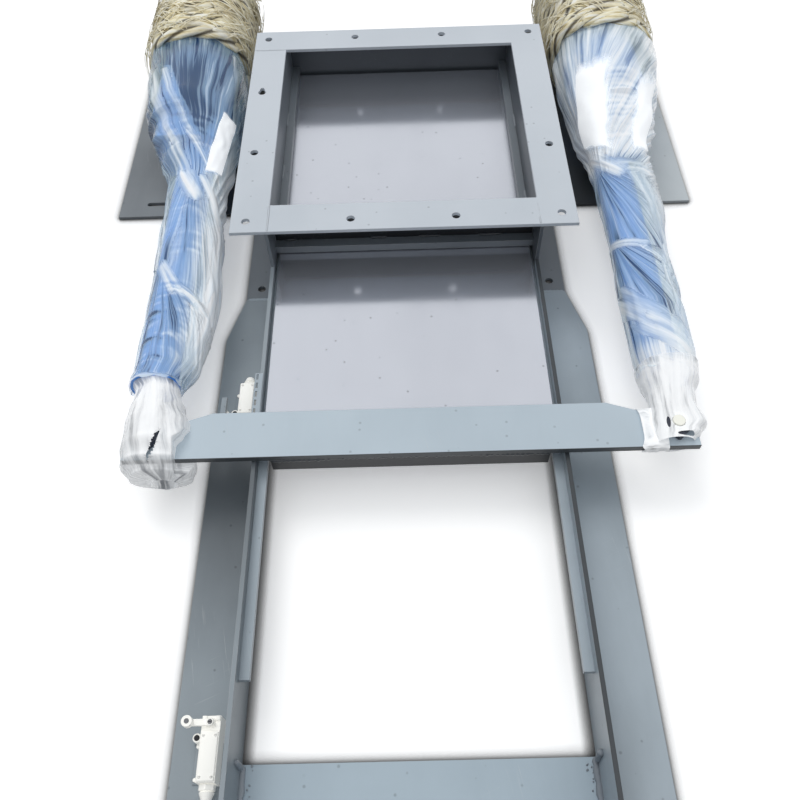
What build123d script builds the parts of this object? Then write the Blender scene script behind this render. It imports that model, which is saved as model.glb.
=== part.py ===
from build123d import *
import os

os.makedirs("parts", exist_ok=True)

# Duct body, millimetres. The opening is square and centred on X = 0, Y = 0.
opening = 450
flange_width = 63
plate = 6
body_height = 172
hole_dia = 14
hole_edge = 25.5
holes_per_side = 4
nick_width = 9
nick_length = 14

# Guides for the blade
ledge_width = 14
ledge_thick = 8
ledge_top = 70
seat_gap = 0.2
hold_gap = 2
bar_height = 14
near_bar_width = 23
sill_top = ledge_top - ledge_thick

# Blade
blade_thick = 10
blade_side_gap = 5
tip_gap = 7
stroke = 475

# Rails
rail_width = 90
rail_spare = 19
taper_length = 92
ledge_past_rail_start = 692

# End member across the rails
member_width = 100
member_upright = 50
member_back = 2

# Crossbar that drives the blade
bar_lift = 5
crossbar_thick = 10
end_past_pin = 29
crossbar_near = 676
crossbar_width = 78
step_depth = 14
step_start = 293
step_end = 334

# Tail plate between crossbar and blade
tail_thick = 8
tail_setback = 14
tail_half = 205
tail_drop = 13

# Rod ends
pin_x = 389
pin_back = 34
pin_dia = 18
pin_fit = 0.05
pin_above = 4
jaw_thick = 12
jaw_gap = 0.5
fork_width = 42
fork_front = 24
fork_slot_clear = 6
fork_neck = 26
fork_flat = 2
pin_below = 6
rod_dia = 30
rod_fit = 0.08

# Cylinder tube
tube_dia = 66
tube_bore = 52
rod_showing = 33
gland_length = 32
gland_rim = 74
rim_length = 10
tube_end = 8
piston_length = 20
piston_back = 2
piston_front = 10
rod_in_fork = 22

# Power pack: manifold, tank, motor, fan cover
pack_x = 416
manifold_size = 96
manifold_length = 60
manifold_inner = 64
manifold_outer = 50
manifold_chamfer = 10
tank_dia = 150
tank_length = 270
tank_chamfer = 20
motor_under_tank = 10
motor_length = 150
fin_count = 12
fin_height = 4
fin_thick = 3
box_size = 60
box_inset = 40
box_height = 100
cover_under_tank = 2
cover_length = 46
cover_chamfer = 10

# Trays that carry the packs
tray_outer = 562
tray_ahead_of_pack = 62
tray_past_pack = 34
slot_length = 44
slot_width = 10
slot_inset_x = 74
slot_inset_y = 34
cradle_width = 80
cradle_length = 40
saddle_width = 100
saddle_thick = 12
saddle_inset = 300
saddle_drop = 30
trunnion_inset = 24
trunnion_dia = 30
trunnion_depth = 20
saddle_gap = 0.2

# Straw rope wound round each motor
straw_on_tank = 70
straw_on_cover = 25
straw_half = 104
straw_over_box = 7
straw_corner = 50
straw_gap = 0.3

# Gussets between wall and tray
gusset_height = 76
gusset_reach = 84

# Limit switches on the left rail
switch_x = 262
switch_width = 24
switch_height = 30
switch_length = 60
switch_head = 18
lever_x = 290
roller_dia = 14
roller_height = 9
switch_stem_width = 10
lever_lift = 1
lever_width = 8
lever_thick = 5
switch_gland_dia = 16
switch_gland_length = 14
roller_ahead = 34
roller_open_back = 16
dog_width = 8
dog_reach = 57
dog_foot = 8
dog_seat = 20
dog_clear = 5

# Derived levels and half widths
half = opening / 2
outer = half + flange_width
hole_half = outer - hole_edge
hole_pitch = 2 * hole_half / (holes_per_side - 1)
wall_outer = half + plate
wall_top = body_height - plate
blade_bottom = ledge_top + seat_gap
blade_top = blade_bottom + blade_thick
bar_bottom = blade_top + hold_gap
bar_top = bar_bottom + bar_height
blade_half = half - blade_side_gap
far_inner = outer - plate
blade_tip = far_inner - tip_gap
rail_end = -crossbar_near - stroke - rail_spare
ledge_end = -outer - ledge_past_rail_start
crossbar_bottom = rail_width + bar_lift
crossbar_top = crossbar_bottom + crossbar_thick
crossbar_far = crossbar_width - crossbar_near
crossbar_half = pin_x + end_past_pin
blade_tail = tail_setback - crossbar_near
axis_z = (crossbar_bottom + crossbar_top) / 2
pin_y = pin_back - crossbar_near
fork_slot_end = crossbar_far - step_depth + fork_slot_clear
fork_end = fork_slot_end + fork_neck
tube_near = fork_end + rod_showing
bore_length = piston_front + stroke + piston_length + piston_back
pack_near = tube_near + gland_length + bore_length + tube_end
piston_far = pack_near - tube_end - piston_back
trunnion_y = pack_near + trunnion_inset
tank_near = pack_near + manifold_length
motor_near = tank_near + tank_length
cover_near = motor_near + motor_length
motor_dia = tank_dia - motor_under_tank
cover_dia = tank_dia - cover_under_tank
cover_far = cover_near + cover_length
straw_near = motor_near - straw_on_tank
straw_far = cover_near + straw_on_cover
straw_top = axis_z + box_height + straw_over_box
tray_near = pack_near - tray_ahead_of_pack
tray_far = cover_far + tray_past_pack
closed_roller_y = crossbar_far + roller_ahead
open_roller_y = closed_roller_y - stroke + roller_open_back
switch_top = plate + switch_height
roller_top = switch_top + lever_lift + lever_thick + roller_height


# One box from its two corners
def block(x0, x1, y0, y1, z0, z1, mode=Mode.ADD):
    centre = ((x0 + x1) / 2, (y0 + y1) / 2, (z0 + z1) / 2)
    with Locations(centre):
        Box(abs(x1 - x0), abs(y1 - y0), abs(z1 - z0), mode=mode)


# A plate from an outline in plan, between two heights
def plan_plate(points, z0, z1):
    with BuildSketch(Plane.XY.offset(z0)) as profile:
        with BuildLine():
            Polyline(*points, close=True)
        make_face()
    extrude(profile.sketch, amount=z1 - z0)


# A round bar along +Y, given its near end
def round_bar(x, y0, y1, z, dia, mode=Mode.ADD):
    with BuildSketch(Plane.XZ.offset(-y0)) as profile:
        with Locations((x, z)):
            Circle(dia / 2)
    extrude(profile.sketch, amount=-(y1 - y0), mode=mode)


# A round bar standing up, given its two heights
def upright_bar(x, y, z0, z1, dia, mode=Mode.ADD):
    with BuildSketch(Plane.XY.offset(z0)) as profile:
        with Locations((x, y)):
            Circle(dia / 2)
    extrude(profile.sketch, amount=z1 - z0, mode=mode)


def save(piece, name):
    piece.part.label = name
    export_step(piece.part, f"parts/{name}.step")


# Holes by column from the left and row from the near side
def hole_indexes(skipped):
    last = holes_per_side - 1
    indexes = []
    for column in range(holes_per_side):
        for row in range(holes_per_side):
            on_edge = column in (0, last) or row in (0, last)
            if on_edge and (column, row) not in skipped:
                indexes.append((column, row))
    return indexes


def hole_place(column, row):
    return (column * hole_pitch - hole_half, row * hole_pitch - hole_half)


# Burnt holes are drawn out towards the far side into a teardrop
def build_flange(z0, skipped, burnt):
    with BuildPart() as flange:
        block(-outer, outer, -outer, outer, z0, z0 + plate)
        block(-half, half, -half, half, z0, z0 + plate, Mode.SUBTRACT)
        for column, row in hole_indexes(skipped):
            x, y = hole_place(column, row)
            upright_bar(x, y, z0, z0 + plate, hole_dia, Mode.SUBTRACT)
        for column, row in burnt:
            x, y = hole_place(column, row)
            with BuildSketch(Plane.XY.offset(z0)) as nick:
                with Locations((x, y + nick_length / 2)):
                    Ellipse(nick_width / 2, nick_length / 2)
            extrude(nick.sketch, amount=plate, mode=Mode.SUBTRACT)
    return flange


# On the upper flange the right hole second from the far end is missing
# and the one opposite it is burnt
save(build_flange(0, [], []), "lower_flange")
second_far = holes_per_side - 2
upper_missing = [(holes_per_side - 1, second_far)]
save(build_flange(wall_top, upper_missing, [(0, second_far)]), "upper_flange")


def build_side_wall(side):
    with BuildPart() as side_wall:
        block(side * half, side * wall_outer, -outer, far_inner, plate, wall_top)
    return side_wall


def build_ledge(side):
    inner = half - ledge_width
    with BuildPart() as ledge:
        block(side * inner, side * half, ledge_end, far_inner, sill_top, ledge_top)
    return ledge


# Angle rail: a wide leg lying outward and a leg standing at the inner side
def build_rail(side):
    foot = side * (half + rail_width)
    outline = [
        (side * half, rail_end),
        (foot, rail_end),
        (foot, -outer - taper_length),
        (side * outer, -outer),
        (side * half, -outer),
    ]
    with BuildPart() as rail:
        plan_plate(outline, 0, plate)
        block(side * half, side * wall_outer, rail_end, -outer, 0, rail_width)
    return rail


def build_tray(side):
    with BuildPart() as tray:
        block(side * outer, side * tray_outer, tray_near, tray_far, 0, plate)
        with BuildSketch():
            with Locations((side * (tray_outer - slot_inset_x), tray_near + slot_inset_y)):
                SlotOverall(slot_length, slot_width)
        extrude(amount=plate, mode=Mode.SUBTRACT)
    return tray


# Two triangular plates stand between the holes on the flange and tie the tray to the wall
def build_gussets(side):
    with BuildPart() as gussets:
        for y in (0, hole_pitch):
            with BuildSketch(Plane.XZ.offset(-y + plate / 2)):
                with BuildLine():
                    Polyline(
                        (side * wall_outer, plate),
                        (side * (wall_outer + gusset_reach), plate),
                        (side * (wall_outer + gusset_reach), plate + 10),
                        (side * (wall_outer + 10), plate + gusset_height),
                        (side * wall_outer, plate + gusset_height),
                        close=True,
                    )
                make_face()
            extrude(amount=-plate)
    return gussets


# Cradle: a front block under the manifold and a rear saddle under the tank
def build_cradle(side):
    x = side * pack_x
    front_top = axis_z - manifold_size / 2
    cradle_half = cradle_width / 2
    saddle_half = saddle_width / 2
    front_y = trunnion_y - cradle_length / 2
    saddle_y = pack_near + saddle_inset
    rear_y = saddle_y + saddle_thick
    with BuildPart() as cradle:
        block(x - cradle_half, x + cradle_half, front_y, front_y + cradle_length, plate, front_top)
        upright_bar(x, trunnion_y, plate, front_top, trunnion_dia + 2 * pin_fit, Mode.SUBTRACT)
        block(x - saddle_half, x + saddle_half, saddle_y, rear_y, plate, axis_z - saddle_drop)
        round_bar(x, saddle_y, rear_y, axis_z, tank_dia + 2 * saddle_gap, Mode.SUBTRACT)
    return cradle


def build_trunnion_pin(side):
    pin_top = axis_z - manifold_size / 2 + trunnion_depth
    with BuildPart() as trunnion_pin:
        upright_bar(side * pack_x, trunnion_y, plate, pin_top, trunnion_dia)
    return trunnion_pin


# Cylinder tube with the gland and its rim at the near end
def build_tube(side):
    x = side * pin_x
    gland_bore = rod_dia + 2 * rod_fit
    gland_far = tube_near + gland_length
    with BuildPart() as tube:
        round_bar(x, tube_near, pack_near, axis_z, tube_dia)
        round_bar(x, tube_near, tube_near + rim_length, axis_z, gland_rim)
        round_bar(x, gland_far, gland_far + bore_length, axis_z, tube_bore, Mode.SUBTRACT)
        round_bar(x, tube_near, gland_far, axis_z, gland_bore, Mode.SUBTRACT)
    return tube


def build_manifold(side):
    low = axis_z - manifold_size / 2
    high = axis_z + manifold_size / 2
    inner_x = side * (pack_x - manifold_inner)
    outer_x = side * (pack_x + manifold_outer)
    socket_dia = trunnion_dia + 2 * pin_fit
    with BuildPart() as manifold:
        block(inner_x, outer_x, pack_near, tank_near, low, high)
        chamfer(manifold.edges().filter_by(Axis.Y), length=manifold_chamfer)
        upright_bar(side * pack_x, trunnion_y, low, low + trunnion_depth, socket_dia, Mode.SUBTRACT)
    return manifold


def build_tank(side):
    x = side * pack_x
    with BuildPart() as tank:
        round_bar(x, tank_near, motor_near, axis_z, tank_dia)
        rims = tank.edges().filter_by(GeomType.CIRCLE).sort_by(Axis.Y)
        chamfer(rims[0], length=tank_chamfer)
    return tank


# Motor with cooling fins along it and a terminal box on top
def build_motor(side):
    x = side * pack_x
    core_dia = motor_dia - 2 * fin_height
    box_near = motor_near + box_inset
    box_low = x - box_size / 2
    with BuildPart() as motor:
        round_bar(x, motor_near, cover_near, axis_z, core_dia)
        with BuildSketch(Plane.XZ.offset(-motor_near)):
            with Locations((x, axis_z)):
                with PolarLocations(core_dia / 2, fin_count):
                    Rectangle(2 * fin_height, fin_thick)
        extrude(amount=-motor_length)
        block(box_low, box_low + box_size, box_near, box_near + box_size, axis_z, axis_z + box_height)
    return motor


def build_fan_cover(side):
    x = side * pack_x
    with BuildPart() as fan_cover:
        round_bar(x, cover_near, cover_far, axis_z, cover_dia)
        rims = fan_cover.edges().filter_by(GeomType.CIRCLE).sort_by(Axis.Y)
        chamfer(rims[-1], length=cover_chamfer)
    return fan_cover


# Straw winding as one soft sleeve, resting on the tray and open for what it is wound round
def build_straw(side):
    x = side * pack_x
    box_half = box_size / 2 + straw_gap
    box_near = motor_near + box_inset - straw_gap
    box_far = motor_near + box_inset + box_size + straw_gap
    box_top = axis_z + box_height + straw_gap
    saddle_half = saddle_width / 2 + straw_gap
    saddle_y = pack_near + saddle_inset
    hole_dia = tank_dia + 2 * straw_gap
    with BuildPart() as straw:
        with BuildSketch(Plane.XZ.offset(-straw_near)) as profile:
            with Locations((x, (plate + straw_top) / 2)):
                outline = Rectangle(2 * straw_half, straw_top - plate)
            chamfer(outline.vertices(), length=straw_corner)
        extrude(profile.sketch, amount=straw_near - straw_far)
        round_bar(x, straw_near, straw_far, axis_z, hole_dia, Mode.SUBTRACT)
        block(x - box_half, x + box_half, box_near, box_far, axis_z, box_top, Mode.SUBTRACT)
        saddle_near = saddle_y - straw_gap
        saddle_far = saddle_y + saddle_thick + straw_gap
        block(x - saddle_half, x + saddle_half, saddle_near, saddle_far, plate, axis_z, Mode.SUBTRACT)
    return straw


# Rod with the piston at its far end, shown with the gate closed
def build_rod(side):
    x = side * pin_x
    piston_dia = tube_bore - 2 * rod_fit
    with BuildPart() as rod:
        round_bar(x, fork_end - rod_in_fork, piston_far, axis_z, rod_dia)
        round_bar(x, piston_far - piston_length, piston_far, axis_z, piston_dia)
    return rod


# Fork that holds the crossbar between two jaws
def build_fork(side):
    x = side * pin_x
    slot_half = crossbar_thick / 2 + jaw_gap
    jaw = slot_half + jaw_thick
    x0 = x - fork_width / 2
    x1 = x + fork_width / 2
    front = pin_y - fork_front
    nose = fork_width / 2 - fork_flat
    with BuildPart() as fork:
        block(x0, x1, front, fork_end, axis_z - jaw, axis_z + jaw)
        chamfer(fork.edges().filter_by(Axis.Z).sort_by(Axis.Y)[0:2], length=nose)
        block(x0, x1, front, fork_slot_end, axis_z - slot_half, axis_z + slot_half, Mode.SUBTRACT)
        upright_bar(x, pin_y, axis_z - jaw, axis_z + jaw, pin_dia + 2 * pin_fit, Mode.SUBTRACT)
        round_bar(x, fork_end - rod_in_fork, fork_end, axis_z, rod_dia + 2 * pin_fit, Mode.SUBTRACT)
    return fork


# Clevis pin, plain at both ends
def build_pin(side):
    x = side * pin_x
    jaw = crossbar_thick / 2 + jaw_gap + jaw_thick
    with BuildPart() as pin:
        upright_bar(x, pin_y, axis_z - jaw - pin_below, axis_z + jaw + pin_above, pin_dia)
    return pin


builders = {
    "side_wall": build_side_wall,
    "ledge": build_ledge,
    "rail": build_rail,
    "tray": build_tray,
    "gussets": build_gussets,
    "cradle": build_cradle,
    "trunnion_pin": build_trunnion_pin,
    "tube": build_tube,
    "manifold": build_manifold,
    "tank": build_tank,
    "motor": build_motor,
    "fan_cover": build_fan_cover,
    "straw": build_straw,
    "rod": build_rod,
    "fork": build_fork,
    "pin": build_pin,
}
for name, build in builders.items():
    save(build(-1), f"{name}_left")
    save(build(1), f"{name}_right")

with BuildPart() as far_wall:
    block(-wall_outer, wall_outer, far_inner, outer, plate, wall_top)
save(far_wall, "far_wall")

with BuildPart() as near_wall:
    block(-half, half, -half - plate, -half, bar_top, wall_top)
save(near_wall, "near_wall")

with BuildPart() as near_sill:
    block(-half, half, -half - plate, -half, plate, sill_top)
save(near_sill, "near_sill")

# Bars just above the blade, along both sides and across the near side
with BuildPart() as seal_bars:
    block(-half, half, -half - near_bar_width, -half, bar_bottom, bar_top)
    for side in (-1, 1):
        block(side * (half - ledge_width), side * half, -half, far_inner, bar_bottom, bar_top)
save(seal_bars, "seal_bars")

# Angle between the two rails, its upright leg at the near end
with BuildPart() as end_member:
    member_near = rail_end + member_back
    block(-half, half, member_near, member_near + member_width, 0, plate)
    block(-half, half, member_near, member_near + plate, 0, member_upright)
save(end_member, "end_member")

with BuildPart() as blade:
    block(-blade_half, blade_half, blade_tail, blade_tip, blade_bottom, blade_top)
save(blade, "blade")

# The crossbar is cut back a little at both ends of its far edge
with BuildPart() as crossbar:
    end_far = crossbar_far - step_depth
    crossbar_outline = [
        (-crossbar_half, -crossbar_near),
        (crossbar_half, -crossbar_near),
        (crossbar_half, end_far),
        (step_end, end_far),
        (step_start, crossbar_far),
        (-step_start, crossbar_far),
        (-step_end, end_far),
        (-crossbar_half, end_far),
    ]
    plan_plate(crossbar_outline, crossbar_bottom, crossbar_top)
    for side in (-1, 1):
        upright_bar(side * pin_x, pin_y, crossbar_bottom, crossbar_top, pin_dia + 2 * pin_fit, Mode.SUBTRACT)
save(crossbar, "crossbar")

with BuildPart() as tail_plate:
    tail_low = blade_bottom - tail_drop
    block(-tail_half, tail_half, blade_tail - tail_thick, blade_tail, tail_low, crossbar_bottom)
save(tail_plate, "tail_plate")

with BuildPart() as trip_dog:
    dog_left = -lever_x - dog_width / 2
    dog_near = crossbar_far - dog_seat
    dog_far = crossbar_far + dog_reach
    dog_low = roller_top + dog_clear
    block(dog_left, dog_left + dog_width, dog_near, crossbar_far, dog_low, crossbar_bottom)
    block(dog_left, dog_left + dog_width, crossbar_far, dog_far, dog_low, dog_low + dog_foot)
save(trip_dog, "trip_dog")


# A switch lies on the rail; ahead is +1 when its roller is at the far end and -1 at the near end
def build_switch(roller_y, ahead):
    front = roller_y + ahead * switch_head / 2
    neck = front - ahead * switch_head
    back = neck - ahead * switch_length
    gland = back - ahead * switch_gland_length
    side_x = switch_width / 2
    lever_low = switch_top + lever_lift
    lever_y = roller_y - lever_width / 2
    gland_z = plate + switch_height / 2
    stem = switch_stem_width / 2
    stem_low = switch_top - lever_lift
    with BuildPart() as switch:
        block(-switch_x - side_x, -switch_x + side_x, neck, back, plate, switch_top)
        block(-switch_x - side_x, -switch_x + side_x, neck, front, plate, switch_top - lever_lift)
        block(-switch_x - stem, -switch_x + stem, roller_y - stem, roller_y + stem, stem_low, lever_low)
        block(-lever_x, -switch_x, lever_y, lever_y + lever_width, lever_low, lever_low + lever_thick)
        upright_bar(-lever_x, roller_y, lever_low + lever_thick, roller_top, roller_dia)
        round_bar(-switch_x, min(back, gland), max(back, gland), gland_z, switch_gland_dia)
    return switch


save(build_switch(closed_roller_y, -1), "closed_switch")
save(build_switch(open_roller_y, 1), "open_switch")
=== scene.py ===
# %% [markdown]
# # A slide gate for a square duct
#
# The gate is a flat steel blade in a welded frame, pulled open by a crossbar and two push-rod actuators.
# The CAD model already has its true shapes, so it is loaded as it is and never moved.
# This lesson lights it, gives each part its finish, and adds what a welder, a fitter and a packer leave on such a gate.

# %% Load the gate
import math
import random

import bpy
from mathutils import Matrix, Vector, noise


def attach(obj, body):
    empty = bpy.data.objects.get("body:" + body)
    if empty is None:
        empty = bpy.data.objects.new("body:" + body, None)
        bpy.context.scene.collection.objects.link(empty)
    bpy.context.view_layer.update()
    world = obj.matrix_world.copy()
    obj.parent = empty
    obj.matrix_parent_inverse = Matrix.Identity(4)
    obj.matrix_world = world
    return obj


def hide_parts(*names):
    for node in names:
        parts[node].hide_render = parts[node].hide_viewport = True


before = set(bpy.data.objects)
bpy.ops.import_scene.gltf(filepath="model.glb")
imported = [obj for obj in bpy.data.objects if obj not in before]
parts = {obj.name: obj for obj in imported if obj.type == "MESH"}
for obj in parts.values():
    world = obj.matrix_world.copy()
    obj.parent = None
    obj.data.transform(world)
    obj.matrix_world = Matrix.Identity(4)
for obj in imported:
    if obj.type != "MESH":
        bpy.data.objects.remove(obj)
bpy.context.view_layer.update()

# %% [markdown]
# ## The camera
#
# The picture was taken by somebody standing at the open end and looking steeply down.
# The place, turn and lens were solved from the bolt holes of the square flange, so they are set as numbers here.

# %% Camera
camera_data = bpy.data.cameras.new("standing_view")
camera_data.sensor_width = 36.0
camera_data.lens = 35.99
camera = bpy.data.objects.new("standing_view", camera_data)
camera.location = (-0.00157, -1.25594, 1.10081)
camera.rotation_euler = [math.radians(a) for a in (34.0281, 1.3355, -1.0150)]
bpy.context.scene.collection.objects.link(camera)
bpy.context.scene.camera = camera
bpy.context.scene.view_settings.view_transform = "Standard"
# %% [markdown]
# ## Small helpers for node trees
#
# Every finish below is a tree of nodes. These helpers keep the trees short. `feed` gives each named input its value,
# by a link when the value is another node's output. The rest each add one kind of node and give back what it puts out.


# %% Node helpers
def feed(tree, inputs, values):
    for name, value in dict(values).items():
        if isinstance(value, bpy.types.NodeSocket):
            tree.links.new(value, inputs[name])
        else:
            inputs[name].default_value = value


def add_node(tree, kind, values=(), **settings):
    node = tree.nodes.new(kind)
    for name, value in settings.items():
        setattr(node, name, value)
    feed(tree, node.inputs, values)
    return node


def sums(tree, operation, *values):
    return add_node(tree, "ShaderNodeMath", enumerate(values), operation=operation).outputs[0]


def times(tree, value, *factors):
    for factor in factors:
        value = sums(tree, "MULTIPLY", value, factor)
    return value


def mix_colour(tree, factor, first, second):
    return add_node(tree, "ShaderNodeMix", {0: factor, 6: first, 7: second}, data_type="RGBA").outputs[2]


def window(tree, value, low, high, out_low=0.0, out_high=1.0):
    limits = enumerate((value, low, high, out_low, out_high))
    return add_node(tree, "ShaderNodeMapRange", limits, interpolation_type="SMOOTHSTEP").outputs[0]


def object_place(tree):
    return add_node(tree, "ShaderNodeTexCoord").outputs["Object"]


def point_value(tree, name, output="Fac"):
    return add_node(tree, "ShaderNodeAttribute", attribute_name=name).outputs[output]


def noise_map(tree, scale, detail=4.0, stretch=(1, 1, 1), rough=0.5, lean=0):
    mapping = add_node(tree, "ShaderNodeMapping", {
        "Vector": object_place(tree), "Rotation": (0, 0, math.radians(lean)),
        "Scale": [1 / s for s in stretch] if lean else stretch,
    }, vector_type="TEXTURE" if lean else "POINT")
    return add_node(tree, "ShaderNodeTexNoise", {
        "Vector": mapping.outputs[0], "Scale": scale, "Detail": detail, "Roughness": rough}).outputs["Fac"]


def new_material(name):
    material = bpy.data.materials.new(name)
    material.use_nodes = True
    return material, material.node_tree, material.node_tree.nodes["Principled BSDF"].inputs


def new_group(name, inputs, outputs):
    group = bpy.data.node_groups.new(name, "ShaderNodeTree")
    for title, kind, value in inputs:
        socket = group.interface.new_socket(name=title, in_out="INPUT", socket_type="NodeSocket" + kind)
        socket.default_value = value
    for title, kind in outputs:
        group.interface.new_socket(name=title, in_out="OUTPUT", socket_type="NodeSocket" + kind)
    return group, add_node(group, "NodeGroupInput").outputs


def from_screen(r, g, b):
    values = [c / 255 for c in (r, g, b)]
    return (*(c / 12.92 if c <= 0.04045 else ((c + 0.055) / 1.055) ** 2.4 for c in values), 1)


# %% [markdown]
# ## A white studio with an overcast sky
#
# Outdoors under cloud, light falls mostly from straight above, so flat faces are light and upright faces are dark.
# The world here does the same for the light it sends: it is brightest overhead and fades to the horizon.
# The camera, reflections and clear film see plain white instead, which gives the white background.


# %% World and sun
white = (1.0, 1.0, 1.0, 1.0)
sky_strength, horizon_strength = 1.25, 0.08


def white_to_the_eye(tree):
    rays = add_node(tree, "ShaderNodeLightPath").outputs
    eye = sums(tree, "MAXIMUM", rays["Is Camera Ray"], rays["Is Glossy Ray"])
    return sums(tree, "MAXIMUM", eye, rays["Is Transmission Ray"])


world = bpy.data.worlds.new("cloudy_studio")
world.use_nodes = True
sky = world.node_tree
sky.nodes.clear()
direction = add_node(sky, "ShaderNodeTexCoord").outputs["Generated"]
height = add_node(sky, "ShaderNodeSeparateXYZ", {0: direction}).outputs["Z"]
overhead = sums(sky, "POWER", sums(sky, "MAXIMUM", height, 0.0), 2.0)
glow = sums(sky, "MULTIPLY_ADD", overhead, sky_strength, horizon_strength)
cloud_light = add_node(sky, "ShaderNodeBackground", {"Color": (0.96, 0.98, 1.0, 1.0), "Strength": glow})
white_wall = add_node(sky, "ShaderNodeBackground", {"Color": white, "Strength": 1.0})
seen = add_node(sky, "ShaderNodeMixShader", {
    0: white_to_the_eye(sky), 1: cloud_light.outputs[0], 2: white_wall.outputs[0]})
add_node(sky, "ShaderNodeOutputWorld", {"Surface": seen.outputs[0]})
bpy.context.scene.world = world

sun_data = bpy.data.lights.new("veiled_sun", "SUN")
sun_data.energy = 0.7
sun_data.angle = math.radians(28)
sun_data.color = (1.0, 0.985, 0.96)
sun = bpy.data.objects.new("veiled_sun", sun_data)
sun.rotation_euler = (math.radians(-30), math.radians(-18), 0)
bpy.context.scene.collection.objects.link(sun)
sun.visible_glossy = False

# %% [markdown]
# ## The floor
#
# A wide pale floor carries the gate. It is white to the camera and keeps the shadow, but it sends little light back up,
# as the dark ground of a yard does. Close to the gate it is darkened by ambient occlusion, a painted contact shade.

# %% Floor
bpy.ops.object.select_all(action="DESELECT")
bpy.ops.mesh.primitive_plane_add(size=60, location=(0, 0, 0))
floor = bpy.context.active_object
floor.name = "floor"
floor.location.z = -0.0004
bpy.ops.object.transform_apply(location=True)
floor_paint, tree, _ = new_material("pale_floor")
tree.nodes.clear()
# Painted contact shade: the floor turns dark where the gate stands close over it.
contact_shade = add_node(tree, "ShaderNodeAmbientOcclusion", {"Distance": 0.018}, samples=8)
tint = mix_colour(tree, sums(tree, "POWER", contact_shade.outputs["AO"], 4.0), (0.02, 0.02, 0.02, 1), white)
lit = add_node(tree, "ShaderNodeBsdfDiffuse", {"Color": tint})
lift = add_node(tree, "ShaderNodeEmission", {"Color": tint, "Strength": 0.28})
shown = add_node(tree, "ShaderNodeAddShader", {0: lit.outputs[0], 1: lift.outputs[0]})
ground = add_node(tree, "ShaderNodeBsdfDiffuse", {"Color": (0.22, 0.22, 0.22, 1.0)})
pick = add_node(tree, "ShaderNodeMixShader", {0: white_to_the_eye(tree), 1: ground.outputs[0], 2: shown.outputs[0]})
add_node(tree, "ShaderNodeOutputMaterial", {"Surface": pick.outputs[0]})
floor.data.materials.append(floor_paint)

# %% [markdown]
# ## Paint that has been handled
#
# All the steel is sprayed with the same grey gloss, and all of it has been dragged, stacked and welded near.
# One node group makes that skin: slow changes of tone, the fine dimples of sprayed paint, pits, scratches along and
# across, and a light rub on every edge, which is wear and also a painted edge highlight. It also lays painted shade in
# a band along one direction. Each paint below sets its own amounts.

# %% The painted skin, as a node group
pit_black = (0.06, 0.065, 0.07, 1)
painted_shade_black = (0.008, 0.010, 0.013, 1)
painted_shade_names = ("Painted shade towards", "Painted shade", "Painted shade starts", "Painted shade full", "Painted shade thins", "Painted shade ends")


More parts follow.
